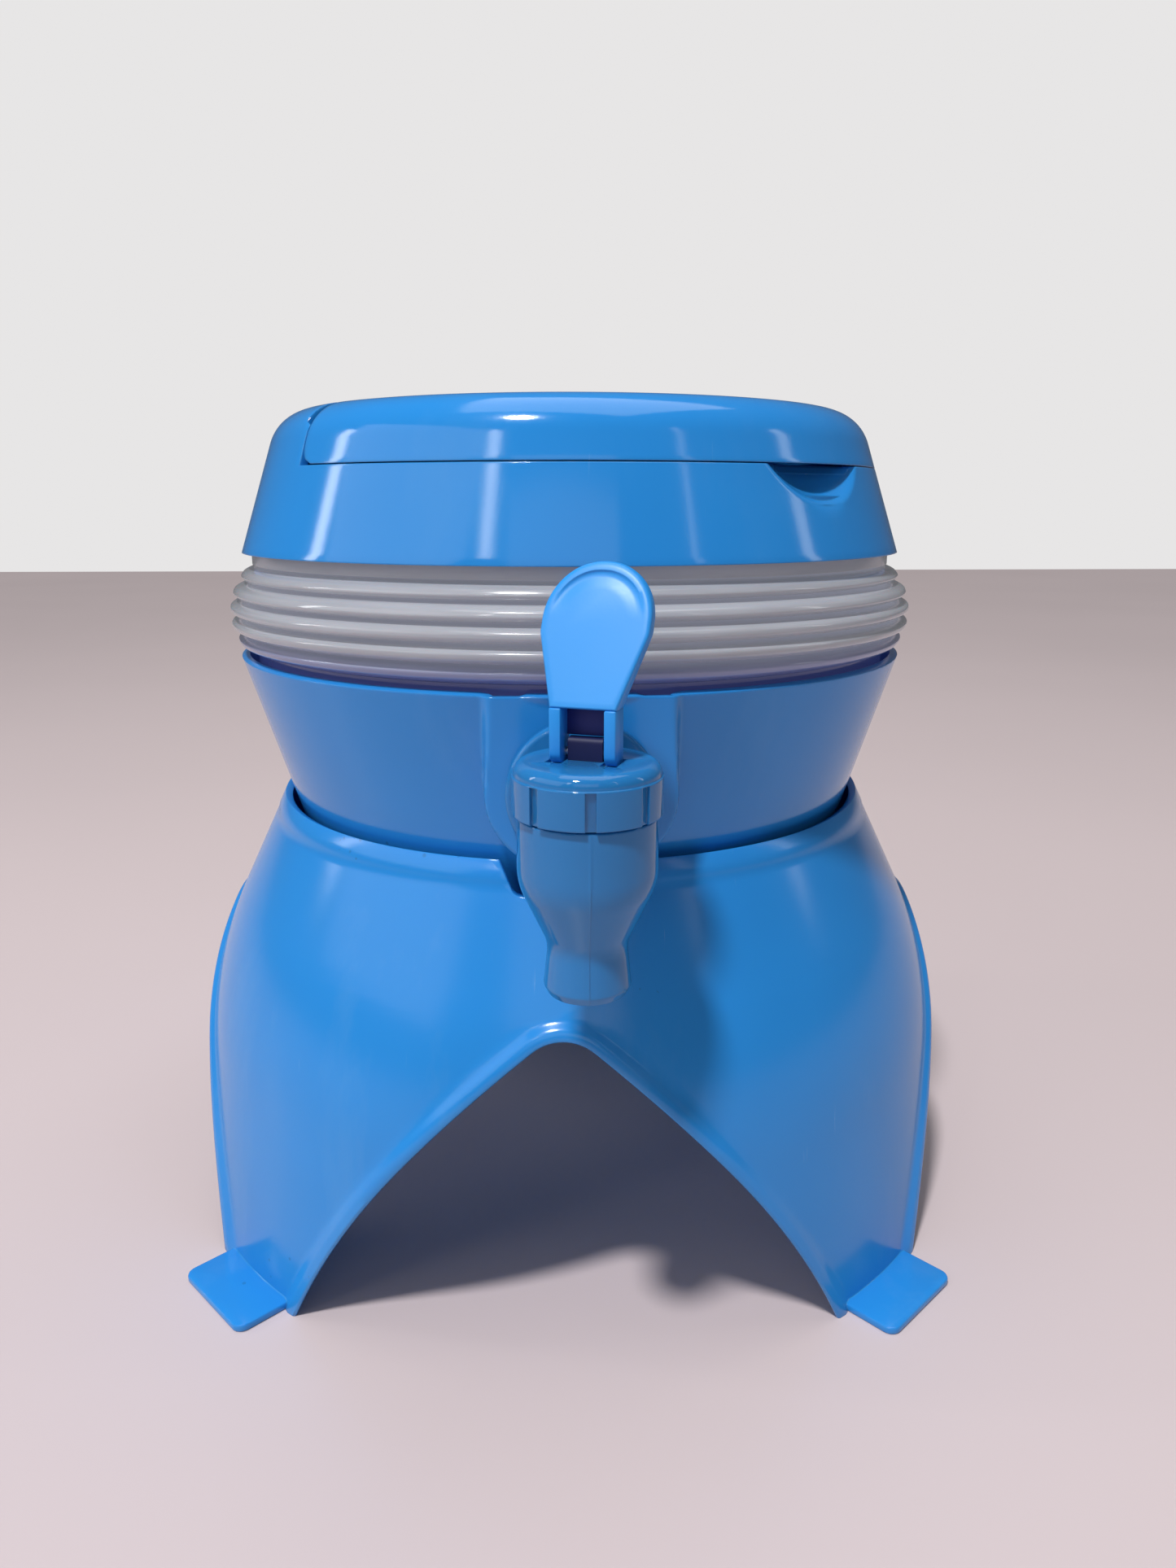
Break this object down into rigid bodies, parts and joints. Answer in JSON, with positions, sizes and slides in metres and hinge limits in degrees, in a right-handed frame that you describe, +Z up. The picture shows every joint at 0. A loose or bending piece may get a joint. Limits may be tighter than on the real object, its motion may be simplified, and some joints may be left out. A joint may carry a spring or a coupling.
{
  "type": "collapsible drinks dispenser",
  "caption": "Collapsible drinks dispenser: tapered tub with lever tap, accordion bellows, screw collar with half-moon flip lid, on a flared stand with arched legs.",
  "frame": {"origin": "on the bottle's vertical axis, at the floor under the stand", "axes": "+Z up, -Y towards the tap, +X to the right seen from the tap's side"},
  "size_m": [0.222, 0.2532, 0.2295],
  "materials": {
    "blue_shell": "gloss",
    "tap_blue": "gloss",
    "lever_blue": "gloss",
    "clear_bellows": "satin, translucent",
    "white_plastic": "satin",
    "navy_plastic": "satin",
    "seal_rubber": "matte",
    "steel": "drawn"
  },
  "bodies": {
    "stand": {"stand": "blue_shell"},
    "bottle": {"tub": "blue_shell", "bellows": "clear_bellows", "lower_clamp_ring": "white_plastic", "lower_seal": "seal_rubber", "tap_body": "tap_blue", "tap_cap": "tap_blue", "outer_washer": "seal_rubber", "inner_washer": "seal_rubber", "shank_nut": "tap_blue", "plunger_spring": "steel"},
    "plunger": {"plunger_stem": "navy_plastic", "seat_cup": "seal_rubber", "lever_pin": "steel"},
    "lever": {"tap_lever": "lever_blue"},
    "neck": {"neck_ring": "white_plastic"},
    "gasket": {"neck_gasket": "seal_rubber"},
    "collar": {"collar": "blue_shell", "lid_hinge_pin": "steel"},
    "lid": {"flip_lid": "blue_shell"}
  },
  "joints": [
    {"name": "bottle_lift", "type": "slide", "parent": "stand", "child": "bottle", "axis": [0, 0, 1], "range_m": [0, 0.06]},
    {"name": "plunger_lift", "type": "slide", "parent": "bottle", "child": "plunger", "axis": [0, 0, 1], "range_m": [0, 0.0011], "deforming": ["plunger_spring"]},
    {"name": "lever_tilt", "type": "hinge", "parent": "plunger", "child": "lever", "pos_m": [0, -0.127, 0.15735], "axis": [0.9397, -0.342, 0], "range_deg": [0, 45], "stiffness_Nm_per_rad": 0.003, "springref_deg": -160.43},
    {"name": "bellows_extend", "type": "slide", "parent": "bottle", "child": "neck", "axis": [0, 0, 1], "range_m": [0, 0.075], "deforming": ["bellows"]},
    {"name": "collar_rise", "type": "slide", "parent": "neck", "child": "gasket", "axis": [0, 0, 1], "range_m": [0, 0.0101]},
    {"name": "collar_turn", "type": "hinge", "parent": "gasket", "child": "collar", "pos_m": [0, 0, 0.2], "axis": [0, 0, 1], "range_deg": [0, 300]},
    {"name": "lid_flip", "type": "hinge", "parent": "collar", "child": "lid", "pos_m": [-0.00268, 0.00297, 0.22728], "axis": [-0.7431, -0.6691, 0], "range_deg": [0, 100]}
  ],
  "couplings": [
    {"joint": "plunger_lift", "follows": "lever_tilt", "m_per_rad": 0.0014},
    {"joint": "collar_rise", "follows": "collar_turn", "m_per_rad": 0.0019099}
  ]
}
